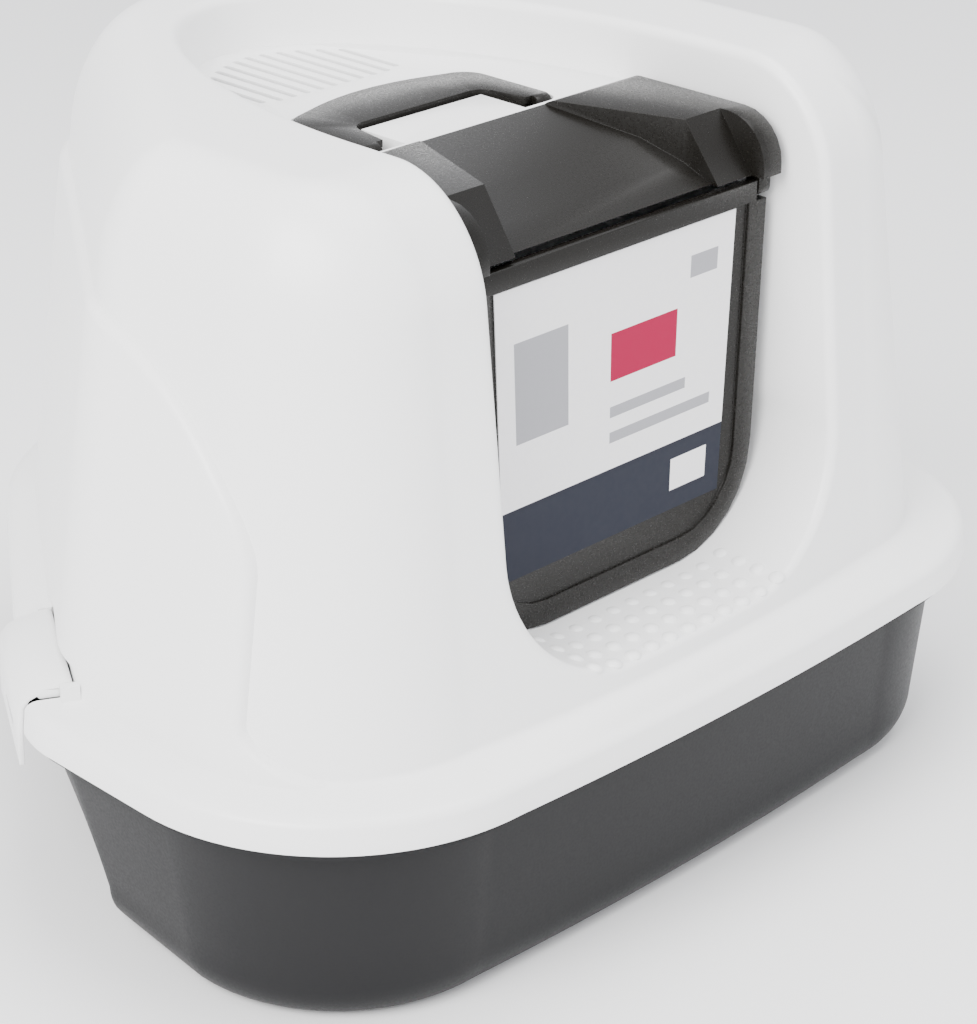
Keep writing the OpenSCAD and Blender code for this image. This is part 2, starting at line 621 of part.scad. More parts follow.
// ---- flap ----------------------------------------------------------------------------
flap_top = flap_axis_z + 5;
flap_head = 11;                             // height of the band along the flap's top
flap_taper = 5;                             // the flap narrows by this much each side
module flap_outline(inset) {
  half = flap_half - inset;
  low = skirt_z + flap_bottom + inset;
  r = flap_corner_r - inset;
  corner = flap_half - flap_taper - flap_corner_r;
  arc = [for (a = [0:15:90]) [corner + r * cos(a), low + r - r * sin(a)]];
  right = concat([[half, flap_top - (inset > 0 ? flap_head : 0)]], arc);
  polygon(concat(right, [for (i = [len(right) - 1:-1:0]) [-right[i][0], right[i][1]]]));
}
module upright(y, t) {
  translate([0, y + t, 0]) rotate([90, 0, 0]) linear_extrude(height = t) children();
}
ear_slot = 10;                              // width of the notch for each lid ear
module swing_flap() color(smoke) seat() difference() {
  union() {
    upright(flap_front, 6) flap_outline(0);
    flap_axis() cylinder(r = 4.5, h = 2 * (lid_half - ear_slot), center = true);
  }
  // the face lies deeper than the band round it, and the back is hollow
  upright(flap_front - 1, 3) flap_outline(band_w);
  upright(flap_front + 2 + lid_wall - 1, 5) flap_outline(3);
  for (side = [-1, 1])
    translate([side * (lid_half - ear_slot / 2) - ear_slot / 2 - 0.4, flap_axis_y - 10,
      flap_axis_z - 6]) cube([ear_slot + 0.8, 20, 20]);
  flap_axis() cylinder(r = pin_r + pin_play, h = 2 * lid_half, center = true);
}

label_top = 222;
label_low = 66;
label_half = flap_half - 23;
module label_card() color("white") seat()
  upright(flap_front + 1.4, 0.6) polygon([[-label_half, skirt_z + label_top],
    [label_half, skirt_z + label_top], [label_half - 7, skirt_z + label_low],
    [-label_half + 7, skirt_z + label_low]]);

module carry_handle() color(smoke) seat() difference() {
  union() {
    translate([0, 0, handle_top - handle_t]) linear_extrude(height = handle_t) difference() {
      handle_outline(0);
      handle_hole();
      translate([-2 * handle_half, pivot_y - 40]) square([4 * handle_half, 40]);
    }
    for (side = [-1, 1])
      translate([side * (handle_half - 5), 0, 0]) handle_axis()
        cylinder(r = handle_t / 2, h = 10, center = true);
  }
  handle_axis() cylinder(r = pin_r + pin_play, h = 2 * handle_half + 4, center = true);
}

// ---- latch ---------------------------------------------------------------------------
latch_t = 2.6;
latch_top = hinge_z + hinge_r;
module latch(side) color(white) seat() at_latch(side) difference() {
  union() {
    translate([-latch_len / 2, 0, 0]) rotate([90, 0, 90])
      linear_extrude(height = latch_len) polygon([
        [-hinge_in, latch_top], [-8, latch_top - 2.4], [-0.5, latch_top - 6],
        [3.6, latch_top - 11], [5.1, skirt_z], [5.4, skirt_z - latch_drop],
        [5.4 - latch_t, skirt_z - latch_drop], [2.4, skirt_z], [1, latch_top - 12],
        [-2, latch_top - 8.2], [-8, latch_top - latch_t - 2.4],
        [-hinge_in, latch_top - latch_t]]);
    // cheeks that close the latch's ends above the tray's rim
    for (end = [-1, 1]) translate([end * (latch_len / 2 - 1.25) - 1.25, 0, 0])
      rotate([90, 0, 90]) linear_extrude(height = 2.5) polygon([[-hinge_in, latch_top - 1],
        [-8, latch_top - 3.4], [-5, latch_top - 5.5], [-7, flange_z], [-hinge_in, flange_z]]);
    latch_axis() cylinder(r = hinge_r, h = latch_len, center = true);
  }
  translate([-18, -5, skirt_z - 9]) cube([36, 20, 5]);
  latch_axis() cylinder(r = pin_r + pin_play, h = latch_len + 4, center = true);
}

// ---- filter --------------------------------------------------------------------------
filter_top = skirt_z + deck_z - hood_wall - gap;
module filter_plan(inset) {
  back = recess_back - vent_margin - 6;
  hull() {
    for (side = [-1, 1])
      translate([side * (filter_half - inset - 6), vent_front + inset + 4.5]) circle(r = 6);
    translate([0, back - 24 - inset]) circle(r = 24 - inset);
  }
}
module filter_pad() color([0.12, 0.12, 0.12]) seat()
  translate([0, 0, filter_top - filter_t]) linear_extrude(height = filter_t) filter_plan(3);

module filter_cover() color(white) seat() difference() {
  union() {
    translate([0, 0, filter_top - filter_t - 2.4]) linear_extrude(height = 2.2)
      filter_plan(0);
    translate([-lug_x + 4, lug_y, filter_top - filter_t - 2.4])
      cube([2 * lug_x - 8, vent_front - lug_y + 6, 2.2]);
    filter_axis() cylinder(r = 3.6, h = 2 * lug_x - 8, center = true);
  }
  for (i = [-3:3])
    translate([i * 12 - 3, vent_front + 10, filter_top - filter_t - 5])
      cube([6, 52 - abs(i) * 8, 6]);
  filter_axis() cylinder(r = pin_r + pin_play, h = 2 * lug_x, center = true);
}

// ---- pins ----------------------------------------------------------------------------
module pin(length) cylinder(r = pin_r - 0.01, h = length, center = true);
pin_colour = [0.3, 0.3, 0.3];
module flap_pin(side) color(pin_colour) seat()
  translate([side * (lid_half - 10), 0, 0]) flap_axis() pin(18);
module lid_pin(side) color(pin_colour) seat()
  translate([side * lid_half, 0, 0]) lid_axis() pin(16);
module handle_pin(side) color(pin_colour) seat()
  translate([side * (handle_half - 1.5), 0, 0]) handle_axis() pin(12);
module latch_pin(side) color(pin_colour) seat()
  at_latch(side) latch_axis() pin(latch_len + 11.4);
module filter_cover_pin(side) color(pin_colour) seat()
  translate([side * (lug_x - 2), 0, 0]) filter_axis() pin(9);

base_tray();
hood_shell();
front_lid();
swing_flap();
label_card();
carry_handle();
latch(-1);  // latch_left
latch(1);  // latch_right
filter_cover();
filter_pad();
flap_pin(-1);  // flap_pin_left
flap_pin(1);  // flap_pin_right
lid_pin(-1);  // lid_pin_left
lid_pin(1);  // lid_pin_right
handle_pin(-1);  // handle_pin_left
handle_pin(1);  // handle_pin_right
latch_pin(-1);  // latch_pin_left
latch_pin(1);  // latch_pin_right
filter_cover_pin(-1);  // filter_cover_pin_left
filter_cover_pin(1);  // filter_cover_pin_right
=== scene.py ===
"""Hooded litter box: a dark tray, a white hood with a recessed entrance, a smoked lid
and flap, a folding handle and two side latches.  Metres, origin on the floor under the
middle of the rim, -Y towards the entrance."""
from math import acos, asin, atan2, cos, pi, radians, sin, sqrt

import bpy
from mathutils import Matrix, Vector
from mathutils.geometry import convex_hull_2d


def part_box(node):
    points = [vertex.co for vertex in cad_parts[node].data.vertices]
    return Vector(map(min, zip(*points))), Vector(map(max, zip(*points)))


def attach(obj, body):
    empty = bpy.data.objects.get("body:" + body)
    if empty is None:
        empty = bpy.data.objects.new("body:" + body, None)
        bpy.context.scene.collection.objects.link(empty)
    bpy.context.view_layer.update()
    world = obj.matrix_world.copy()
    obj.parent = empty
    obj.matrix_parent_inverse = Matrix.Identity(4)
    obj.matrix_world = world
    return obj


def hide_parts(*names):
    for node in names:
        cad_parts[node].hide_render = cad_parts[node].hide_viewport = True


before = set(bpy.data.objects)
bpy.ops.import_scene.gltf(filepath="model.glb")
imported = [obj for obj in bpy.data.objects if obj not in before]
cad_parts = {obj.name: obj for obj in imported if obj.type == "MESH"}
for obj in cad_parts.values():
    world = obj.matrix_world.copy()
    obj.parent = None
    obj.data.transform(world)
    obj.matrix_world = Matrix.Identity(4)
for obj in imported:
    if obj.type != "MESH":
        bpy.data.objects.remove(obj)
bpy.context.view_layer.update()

# ---- camera, floor and light -------------------------------------------------------------
# The camera stands at the front left corner, a little above the hood, with a long lens.
# The box stands on a pale floor under three large soft lamps and a bright sky.
camera_place = Vector((-0.9669, -1.0422, 0.8105))
camera_tilt = radians(64.61)
camera_turn = radians(-44.97)
camera_data = bpy.data.cameras.new("camera")
camera_data.lens = 98.44
camera_data.sensor_width = 36
camera = bpy.data.objects.new("camera", camera_data)
camera.location = camera_place
camera.rotation_euler = (camera_tilt, 0, camera_turn)
bpy.context.scene.collection.objects.link(camera)
bpy.context.scene.camera = camera
hood_middle = Vector((0, 0, 0.25))


def soft_lamp(name, place, size, power, tint):
    """A round lamp that faces the middle of the hood."""
    data = bpy.data.lights.new(name, "AREA")
    data.shape = "DISK"
    data.size = size
    data.energy = power
    data.color = tint
    lamp = bpy.data.objects.new(name, data)
    lamp.location = place
    lamp.rotation_euler = (hood_middle - Vector(place)).to_track_quat("-Z", "Y").to_euler()
    bpy.context.scene.collection.objects.link(lamp)


soft_lamp("lamp_left", (-1.9, -0.5, 1.7), size=1.6, power=96, tint=(1, 0.99, 0.98))
soft_lamp("lamp_top", (0.3, -0.3, 2.3), size=1.8, power=42, tint=(1, 1, 1))
soft_lamp("lamp_front", (0.6, -2.2, 1.0), size=1.4, power=12, tint=(0.98, 0.99, 1))

sky = bpy.data.worlds.new("sky")
sky.use_nodes = True
sky_light = sky.node_tree.nodes["Background"]
sky_light.inputs["Color"].default_value = (0.96, 0.97, 1.0, 1)
sky_light.inputs["Strength"].default_value = 1.5
bpy.context.scene.world = sky


def deselect_all():
    if bpy.context.object and bpy.context.object.mode != "OBJECT":
        bpy.ops.object.mode_set(mode="OBJECT")
    bpy.ops.object.select_all(action="DESELECT")


def new_finish(name):
    """A material with its shader, its node tree and a coordinate node."""
    finish = bpy.data.materials.new(name)
    finish.use_nodes = True
    tree = finish.node_tree
    shader = tree.nodes["Principled BSDF"]
    coords = tree.nodes.new("ShaderNodeTexCoord")
    return finish, tree, shader, coords.outputs["Object"]


def grain(tree, coords, scale, detail):
    """A noise pattern on a piece's own coordinates."""
    noise = tree.nodes.new("ShaderNodeTexNoise")
    noise.inputs["Scale"].default_value = scale
    noise.inputs["Detail"].default_value = detail
    tree.links.new(coords, noise.inputs["Vector"])
    return noise.outputs["Fac"]


def blend_colours(tree, factor, first, second):
    blend = tree.nodes.new("ShaderNodeMix")
    blend.data_type = "RGBA"
    blend.inputs["A"].default_value = (*first, 1)
    blend.inputs["B"].default_value = (*second, 1)
    tree.links.new(factor, blend.inputs["Factor"])
    return blend.outputs["Result"]


floor_size = 12
deselect_all()
bpy.ops.mesh.primitive_plane_add(size=floor_size)
floor = bpy.context.object
floor.name = "floor"
floor_finish, floor_tree, floor_shader, floor_coords = new_finish("floor_pale")
floor_cloud = grain(floor_tree, floor_coords, scale=2, detail=2)
floor_colour = blend_colours(floor_tree, floor_cloud, (0.93, 0.93, 0.93), (0.95, 0.95, 0.95))
floor_tree.links.new(floor_colour, floor_shader.inputs["Base Color"])
floor_shader.inputs["Roughness"].default_value = 0.7
floor.data.materials.append(floor_finish)

# ---- tray --------------------------------------------------------------------------------
# The open tray that holds the litter: one injection moulding in dark grey plastic, with
# leaning walls, a rounded bottom edge and a folded rim that the hood sits on.
rim_half = 0.280
rim_depth = 0.511
rim_front = -rim_depth / 2
rim_bow = 0.005
rim_corner_r = 0.126
rim_side_r = 0.071
rim_back_r = 0.162
side_y = rim_front + 0.206
corner_x = rim_half - rim_corner_r
corner_y = rim_front + rim_bow + rim_corner_r
back_y = rim_front + rim_depth - rim_back_r
# An outline seen from above is four circles (front middle, front corner, side and back) and
# the bow of its front edge.  Stations 0 to 6 run along its right half, front to back.
rim = (((0, corner_y, rim_corner_r), (corner_x, corner_y, rim_corner_r),
        (rim_half - rim_side_r, side_y, rim_side_r), (0, back_y, rim_back_r)), rim_bow)
last_station = 6
skirt_z = 0.113
flange_z = skirt_z + 0.018
# Stations of an outline, each with the station of the hood's recess edge that it pairs
# with and the steps to the next pair
track_pairs = ((0, 0, 8), (0.3, 1, 20), (0.95, 2, 20), (1.35, 3, 22), (1.75, 4, 20),
               (2.6, 5, 66), (last_station, last_station, 0))
tray_wall = 0.0028
tray_top = flange_z - 0.0033
tray_flare = 0.0006
tray_foot_r = 0.024
tray_foot_in = 0.8
fold_z = skirt_z - 0.005
merge_within = 0.00002
# By station: how far the wall's top stands in from the rim, and its lean per metre down
tray_inset = ((0, 0.019), (1, 0.019), (2, 0.012), (3, 0.010), (4, 0.013), (6, 0.016))
tray_lean = ((0, 0.07), (1, 0.07), (2, 0.13), (3, 0.24), (3.8, 0.34), (4.6, 0.34),
             (5.5, 0.22), (6, 0.22))
# Inset and height: the fold from the rim, under it, down its inside, up its outside and
# over, and then the wall's inside from its outside
tray_fold = ((0.0080, tray_top - tray_wall), (0.0074, fold_z), (0.0048, fold_z),
             (0.0044, tray_top - 0.0025), (0.0049, tray_top - 0.0010), (0.0064, tray_top))
tray_inside = ((tray_wall - 0.0020, tray_top), (tray_wall - 0.0004, tray_top - 0.002),
               (tray_wall, skirt_z), (tray_wall, 0.07), (tray_wall, 0.04),
               (tray_wall, tray_foot_r))


def mix(a, b, share):
    return a + (b - a) * share


def ease(share):
    share = max(0, min(1, share))
    return share * share * (3 - 2 * share)


def lookup(table, x):
    for (x0, y0), (x1, y1) in zip(table, table[1:]):
        if x <= x1:
            return mix(y0, y1, (x - x0) / (x1 - x0))
    return table[-1][1]


def leg_angle(outline):
    """Direction in which the straight leg of an outline faces."""
    side, back = outline[0][2], outline[0][3]
    run = Vector((back[0] - side[0], back[1] - side[1]))
    return atan2(run.y, run.x) - acos((side[2] - back[2]) / run.length)


def plan(outline, station, inset):
    """Point of an outline at a station, moved inwards by inset."""
    k = min(int(station), last_station - 1)
    share = station - k
    a, b = (outline[0][i] for i in ((0, 1), (1, 1), (1, 2), (2, 2), (2, 3), (3, 3))[k])
    leg = leg_angle(outline)
    turns = (-pi / 2, -pi / 2, 0, 0, leg, leg, pi / 2)
    angle = mix(turns[k], turns[k + 1], share)
    x, y, radius = (mix(p, q, share) for p, q in zip(a, b))
    bow = outline[1] * (1 - share * share) if k == 0 else 0
    return (x + (radius - inset) * cos(angle), y + (radius - inset) * sin(angle) - bow)


tracks = []
for (station, edge_at, steps), following in zip(track_pairs, track_pairs[1:]):
    for step in range(steps):
        tracks.append((mix(station, following[0], step / steps),
                       mix(edge_at, following[1], step / steps)))
tracks.append((last_station, last_station))


def both_sides(half):
    """A whole ring from the points of its right half."""
    return half + [(-x, y, z) for x, y, z in half[-2:0:-1]]


def level(outline, inset, z):
    return both_sides([(*plan(outline, station, inset), z) for station, _ in tracks])


def tray_ring(inset, z, follows=True):
    """A level ring that follows the leaning wall, or is counted from the rim."""
    drop = max(0, skirt_z - max(z, tray_foot_r))
    half = []
    for station, _ in tracks:
        wall = lookup(tray_inset, station) + drop * lookup(tray_lean, station)
        half.append((*plan(rim, station, inset + (wall if follows else 0)), z))
    return both_sides(half)


def activate(piece):
    """Selects a piece alone and makes it the active one."""
    deselect_all()
    bpy.context.view_layer.objects.active = piece
    piece.select_set(True)


def new_piece(name, points, faces):
    mesh = bpy.data.meshes.new(name)
    mesh.from_pydata(points, [], faces)
    piece = bpy.data.objects.new(name, mesh)
    bpy.context.scene.collection.objects.link(piece)
    return piece


def tidy_mesh(piece):
    """Merges what lies together and turns the faces outwards."""
    activate(piece)
    bpy.ops.object.mode_set(mode="EDIT")
    bpy.ops.mesh.select_all(action="SELECT")
    bpy.ops.mesh.remove_doubles(threshold=merge_within)
    bpy.ops.mesh.normals_make_consistent(inside=False)
    bpy.ops.object.mode_set(mode="OBJECT")


def skin(name, rings, closed=False):
    """A mesh that joins rings of points, closed end to end or capped."""
    count = len(rings[0])
    faces = []
    for i in range(len(rings) if closed else len(rings) - 1):
        a, b = i * count, (i + 1) % len(rings) * count
        for j in range(count):
            k = (j + 1) % count
            faces.append((a + j, a + k, b + k, b + j))
    if not closed:
        faces.append(tuple(range(count)))
        faces.append(tuple((len(rings) - 1) * count + j for j in range(count)))
    piece = new_piece(name, [point for ring in rings for point in ring], faces)
    tidy_mesh(piece)
    return piece


def dress(piece, body, finish, node, crease):
    """Shades a finished piece, gives it its finish and puts it on its body."""
    activate(piece)
    bpy.ops.object.shade_smooth_by_angle(angle=radians(crease))
    piece.data.materials.clear()
    piece.data.materials.append(finish)
    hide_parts(node)
    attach(piece, body)


def spread(tree, source, low, high):
    """Maps the usual range of a noise, 0.3 to 0.7, on low to high."""
    span = tree.nodes.new("ShaderNodeMapRange")
    span.inputs["From Min"].default_value = 0.3
    span.inputs["From Max"].default_value = 0.7
    span.inputs["To Min"].default_value = low
    span.inputs["To Max"].default_value = high
    tree.links.new(source, span.inputs["Value"])
    return span.outputs["Result"]


def emboss(tree, shader, height, strength, distance):
    bump = tree.nodes.new("ShaderNodeBump")
    bump.inputs["Strength"].default_value = strength
    bump.inputs["Distance"].default_value = distance
    tree.links.new(height, bump.inputs["Height"])
    tree.links.new(bump.outputs["Normal"], shader.inputs["Normal"])


def moulded_plastic(name, colour, shade, roughness, pebble, shine=0.5):
    """Moulded plastic: a faint cloudiness, a slightly uneven gloss and a fine pebble."""
    finish, tree, shader, coords = new_finish(name)
    cloud = grain(tree, coords, scale=9, detail=3)
    tree.links.new(blend_colours(tree, cloud, colour, shade), shader.inputs["Base Color"])
    shader.inputs["Specular IOR Level"].default_value = shine
    fine = grain(tree, coords, scale=700, detail=2)
    tree.links.new(spread(tree, fine, *roughness), shader.inputs["Roughness"])
    emboss(tree, shader, fine, strength=pebble, distance=0.00008)
    return finish


# The tray's rings run up its outside, round the fold and down its inside.
tray_rings = [tray_ring(tray_foot_r * (1 - sin(radians(a))) * tray_foot_in,
                        tray_foot_r * (1 - cos(radians(a)))) for a in range(0, 91, 9)]
tray_rings += [tray_ring(0, z) for z in (0.036, 0.05, 0.07, 0.09, skirt_z)]
tray_rings.append(tray_ring(-tray_flare, tray_top - tray_wall))
tray_rings += [tray_ring(inset, z, follows=False) for inset, z in tray_fold]
tray_rings += [tray_ring(inset, z) for inset, z in tray_inside]
tray_rings += [tray_ring(tray_wall + tray_foot_r * (1 - cos(radians(a))) * tray_foot_in,
                         mix(tray_foot_r, tray_wall, sin(radians(a))))
               for a in range(10, 91, 10)]
tray_plastic = moulded_plastic(
    "tray_plastic", colour=(0.0100, 0.0100, 0.0108), shade=(0.0125, 0.0125, 0.0133),
    roughness=(0.40, 0.50), pebble=0.25, shine=0.16)
tray_moulding = skin("tray_moulding", tray_rings)
dress(tray_moulding, "base", tray_plastic, "base_tray", crease=40)

# ---- hood --------------------------------------------------------------------------------
# The hood is one white moulding with a flange that lies over the tray's rim.  Its front
# and top are cut back to a recess with rounded edges, a bumped step and a slotted vent.
hood_wall = 0.003
hood_front_in = 0.035
hood_side_in = 0.033
hood_back_in = 0.023
hood_side_r = 0.082
hood_bow = 0.010
hood_corner_r = rim_corner_r - hood_side_in
hood_corner_y = rim_front + rim_bow + hood_front_in + hood_corner_r
foot = (((0, hood_corner_y, hood_corner_r), (corner_x, hood_corner_y, hood_corner_r),
         (rim_half - hood_side_in - hood_side_r, side_y, hood_side_r),
         (0, back_y, rim_back_r - hood_back_in)), hood_bow)
foot_z = flange_z + 0.004
foot_fillet = 0.0075
flange_wall = 0.003
nose_in = 0.009
nose_w = 0.0078
nose_h = 0.0055
front_draft = 0.100
side_draft = 0.135
front_crown_w = 0.052
side_crown_w = 0.034
front_run = 0.7
crown_h = 0.058
top_z = skirt_z + 0.293
crown_z = top_z - crown_h
wall_share = 0.72
recess_half = 0.121
recess_corner_r = 0.075
recess_edge_r = 0.006
lip_half = recess_half - recess_corner_r
lip_z = skirt_z + 0.031
taper_y = rim_front + 0.150
tip_power = 1.85
recess_back = rim_front + 0.385
doorway_y = rim_front + 0.104
jamb_lean = 0.004
jamb_top_z = skirt_z + 0.215
jamb_slant = 0.017
wall_foot_z = skirt_z + 0.232
# Spacing of the rings over the hood: those up to the crown's end, and the share from which
# the rest cross the flat top.  Above the lower corner the tracks turn towards the side over
# turn_run stations, and behind the shoulder they come up over the brow at brow_station.
crown_rings = list(enumerate((0, 0.2, 0.4, 0.57, 0.72, 0.79, 0.86, 0.93, 1)))
crown_reach = 0.98
flat_from = 2 / 3
turn_run = 1.2
brow_station = 1.9
outer_rings = 48
inner_rings = 24
wall_steps = 8


def off_front(station):
    """0 along the front, rising to 1 round the corner."""
    return ease((station - 1) / front_run)


def draft_at(station):
    return mix(front_draft, side_draft, off_front(station))


def crown_angle(v):
    return max(0, (v - wall_share) / (1 - wall_share)) * pi / 2


def wall_height(v):
    """Height of the hood's profile at v, from 0 at its foot to 1 on the flat top."""
    if v <= wall_share:
        return mix(foot_z, crown_z, v / wall_share)
    return crown_z + crown_h * sin(crown_angle(v))


def wall_inset(station, v):
    crown_w = mix(front_crown_w, side_crown_w, off_front(station))
    return draft_at(station) * (wall_height(v) - foot_z) + crown_w * (1 - cos(crown_angle(v)))


def front_at(x):
    return rim_front + rim_bow + hood_front_in - hood_bow * (1 - (x / corner_x) ** 2)


# The recess edge, widened by e: along the lip (0-1), round the lower corner (1-2), up the
# side (2-3), over the shoulder (3-4), back along the top (4-5) and round to its tip (5-6)
def edge_x(s, e):
    if s <= 1:
        return lip_half * s
    if s <= 2:
        return lip_half + (recess_corner_r + e) * sin((s - 1) * pi / 2)
    if s <= 5:
        return recess_half + e
    return (recess_half + e) * sqrt(max(0, 1 - sin((s - 5) * pi / 2) ** tip_power))


def edge_v(s, e):
    if s > 3:
        return mix(wall_share, 1, min(s - 3, 1))
    if s <= 1:
        z = lip_z - e
    elif s <= 2:
        z = lip_z + recess_corner_r - (recess_corner_r + e) * cos((s - 1) * pi / 2)
    else:
        z = mix(lip_z + recess_corner_r, crown_z, s - 2)
    return wall_share * (z - foot_z) / (crown_z - foot_z)


def edge_y(s, e):
    x = min(edge_x(s, e), recess_half + e)
    if s <= 4:
        return front_at(x) + wall_inset(0, edge_v(s, e))
    if s <= 5:
        return mix(front_at(x) + wall_inset(0, 1), taper_y, s - 4)
    return taper_y + (recess_back + e - taper_y) * sin((s - 5) * pi / 2)


def edge_point(s, e, depth):
    """Point at a depth below the hood's outside, along the recess wall."""
    down = max(0, min(1, s - 3)) * pi / 2
    z = wall_height(edge_v(s, e)) if s <= 4 else top_z
    return (edge_x(s, e), edge_y(s, e) + depth * cos(down), z - depth * sin(down))


def edge_round(s):
    """Radius of the recess edge: half along the lip, growing round the lower corner."""
    return recess_edge_r * (0.5 if s < 1 else s / 2 if s < 2 else 1)


def wall_end(s, e):
    """Where the recess wall ends: behind the step, at the doorway or under the lid."""
    if s <= 2:
        inset = e - jamb_lean / 2
        if s <= 1:
            z = lip_z - inset
        else:
            z = lip_z + recess_corner_r - (recess_corner_r + inset) * cos((s - 1) * pi / 2)
        return (edge_x(s, inset), doorway_y, z)
    side = recess_half - jamb_lean + e
    if s <= 3:
        return (side, doorway_y, mix(lip_z + recess_corner_r, jamb_top_z, s - 2))
    if s <= 4:
        return (side, doorway_y + jamb_slant * (s - 3), mix(jamb_top_z, wall_foot_z, s - 3))
    if s <= 5:
        return (side, mix(doorway_y + jamb_slant, taper_y, s - 4), wall_foot_z)
    return (edge_x(s, e - jamb_lean), edge_y(s, e - jamb_lean), wall_foot_z)


def over_hood(track, k, inset, e):
    """Point at share k of the way from the hood's foot to the recess edge."""
    station, s = track
    if k > flat_from:
        reach = 1 - (1 - crown_reach) * (1 - k) / (1 - flat_from)
    else:
        reach = crown_reach * lookup(crown_rings, crown_rings[-1][0] * k / flat_from)
    share = mix(k, reach, ease(min(s, 4) - 3))
    turn = ease((s - 1) / turn_run)
    if s <= 4:
        across = edge_x(s, e) / corner_x
        v = edge_v(s, e) * (1 - (1 - share) ** (1 + turn * (1 - ease(s - 3))))
        sweep = share ** (1 + 2 * turn)
    else:
        if s <= 5:
            across = mix((recess_half + e) / corner_x, brow_station, s - 4)
        else:
            across = mix(brow_station, last_station, s - 5)
        v = min(share / crown_reach, 1)
        sweep = v ** (1 + 2 * turn * (1 - ease(s - 4)))
    if s > 4 and k > flat_from:
        brow = plan(foot, across, wall_inset(across, 1) + inset)
        flat = (k - flat_from) / (1 - flat_from)
        x, y = mix(brow[0], edge_x(s, e), flat), mix(brow[1], edge_y(s, e), flat)
        z = top_z
    else:
        place = mix(station, across, sweep)
        x, y = plan(foot, place, wall_inset(place, v) + inset)
        z = wall_height(v)
    return (x, y, foot_z + (z - foot_z) * (top_z - inset - foot_z) / (top_z - foot_z))


def between(first, last, steps):
    """Rings evenly spaced between two rings."""
    return [[tuple(mix(a, b, i / steps) for a, b in zip(p, q)) for p, q in zip(first, last)]
            for i in range(1, steps)]


# The hood's rings run up the skirt, round the flange's nose, up the foot's fillet and
# over the hood, round the recess edge and down its wall, and then back along the inside.
hood_rings = [level(rim, inset, skirt_z + rise) for inset, rise in (
    (0.0008, 0), (0.0002, 0.0003), (0, 0.0010), (0.0005, 0.006))]
hood_rings += [level(rim, nose_in - nose_w * cos(radians(a)),
                     flange_z - nose_h * (1 - sin(radians(a)))) for a in range(0, 91, 10)]
hood_rings += [level(foot, -foot_fillet * (1 - sin(radians(a))),
                     mix(foot_z, flange_z + 0.0002, cos(radians(a)))) for a in range(0, 90, 15)]
hood_rings += [both_sides([over_hood(track, i / outer_rings, 0, edge_round(track[1]))
                           for track in tracks]) for i in range(outer_rings + 1)]
for a in range(15, 91, 15):
    hood_rings.append(both_sides([
        edge_point(s, edge_round(s) * (1 - sin(radians(a))),
                   edge_round(s) * (1 - cos(radians(a)))) for _, s in tracks]))
wall_end_ring = both_sides([wall_end(s, 0) for _, s in tracks])
hood_rings += between(hood_rings[-1], wall_end_ring, wall_steps)
hood_rings += [wall_end_ring, both_sides([wall_end(s, hood_wall) for _, s in tracks])]
hood_rings += [both_sides([over_hood(track, i / inner_rings, hood_wall, hood_wall)
                           for track in tracks]) for i in range(inner_rings, -1, -1)]
hood_rings += [level(foot, hood_wall, flange_z - 0.0027),
               level(rim, flange_wall + 0.001, flange_z - flange_wall),
               level(rim, flange_wall, skirt_z + 0.0004)]
hood_skin = skin("hood_skin", hood_rings, closed=True)

# Raised panels wrap the sides and the back behind an S-shaped, rounded front edge, which
# curls forward at its toe, runs straight up and bends back.  Heights are from the skirt.
panel_proud = 0.005
panel_round = 0.004
panel_sunk = -0.0015
panel_y = rim_front + 0.103
panel_low = 0.0165
panel_bend = 0.118
panel_top = 0.217
panel_run = 0.134
panel_power = 1.25
panel_columns = 90
toe_top = 0.045
toe_run = 0.030
toe_h = 0.023


def wall_place(station, height, proud):
    x, y = plan(foot, station, draft_at(station) * (height + skirt_z - foot_z) - proud)
    return (x, y, skirt_z + height)


def wall_station(y, height, proud):
    """Station at which the wall, moved out by proud, reaches y at a height."""
    low, high = 0.9, last_station
    for _ in range(26):
        middle = (low + high) / 2
        if wall_place(middle, height, proud)[1] < y:
            low = middle
        else:
            high = middle
    return low


s_edge = [(panel_y - toe_run * ((toe_top - h) / toe_h) ** 2, h)
          for h in (mix(panel_low, toe_top, i / 10) for i in range(10))]
s_edge += [(panel_y, h) for h in (toe_top, 0.057, 0.069, 0.081, 0.093, 0.105)]
s_edge += [(panel_y + panel_run * (1 - cos(radians(a)) ** panel_power),
            panel_bend + (panel_top - panel_bend) * sin(radians(a)) ** panel_power)
           for a in (*range(0, 88, 3), 89.9)]


def s_point(i, inset):
    """Point i of the S-shaped edge, moved into the panel by inset."""
    before, after = s_edge[max(i - 1, 0)], s_edge[min(i + 1, len(s_edge) - 1)]
    run = Vector((after[0] - before[0], after[1] - before[1])).normalized()
    return s_edge[i][0] + inset * run.y, s_edge[i][1] - inset * run.x


def panel_sheet(inset, proud):
    """Lines of points from the S-shaped edge to the middle of the back."""
    sheet = []
    for i in range(len(s_edge)):
        y, h = s_point(i, inset)
        start = wall_station(y, h, proud)
        sheet.append([wall_place(mix(start, last_station, j / panel_columns), h, proud)
                      for j in range(panel_columns + 1)])
    return sheet


def rim_of(sheet):
    """A sheet's S-shaped edge, then its top edge to the middle of the back."""
    return [line[0] for line in sheet] + sheet[-1][1:]


panel_points = []
panel_faces = []


def panel_strip(first, second):
    panel_faces.extend(zip(first, first[1:], second[1:], second))


def add_points(points):
    start = len(panel_points)
    panel_points.extend(points)
    return list(range(start, len(panel_points)))


